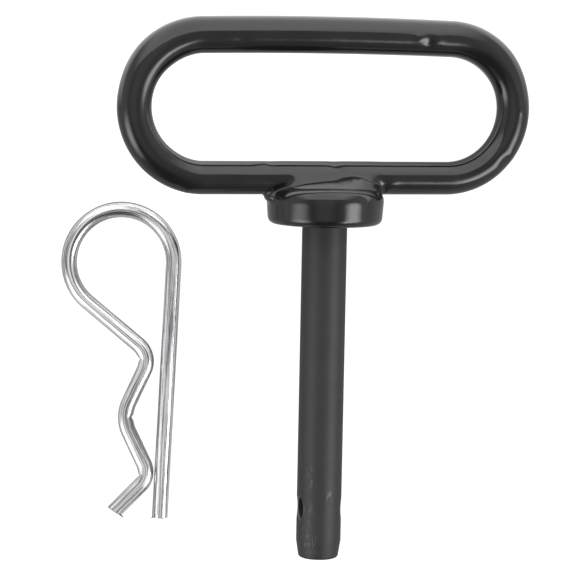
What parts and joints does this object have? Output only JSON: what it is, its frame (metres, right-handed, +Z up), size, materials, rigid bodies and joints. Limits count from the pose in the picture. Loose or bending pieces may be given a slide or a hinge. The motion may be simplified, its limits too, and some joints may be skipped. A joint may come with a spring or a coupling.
{
  "type": "hitch pin",
  "caption": "Round steel drawbar pin with a long coated ring handle, a seating collar and a drilled tip, lying at rest beside its spring R-clip.",
  "frame": {"origin": "on the pin's axis, at the face of the collar that seats on the drawbar, as the pin lies at rest", "axes": "+Z up from the surface it lies on; +Y level, from the tip of the pin towards its handle; +X along the handle, to its low end. The pin's axis dips 6.1 degrees towards the tip."},
  "size_m": [0.133, 0.1534, 0.0389],
  "materials": {
    "coating": "glossy black dipped vinyl, thicker along the grip, with soft sags and small bumps",
    "shank": "satin black oxide on turned bar, rubbed at the tip",
    "clip": "bright zinc plate on drawn spring wire",
    "core_steel": "plain mill steel, all under the coating",
    "weld": "as-welded steel, all under the coating"
  },
  "bodies": {
    "root": {"coating": "coating", "shank": "shank", "r_clip": "clip", "collar": "core_steel", "handle_rod": "core_steel", "ring_weld": "weld", "handle_weld": "weld"}
  },
  "joints": []
}
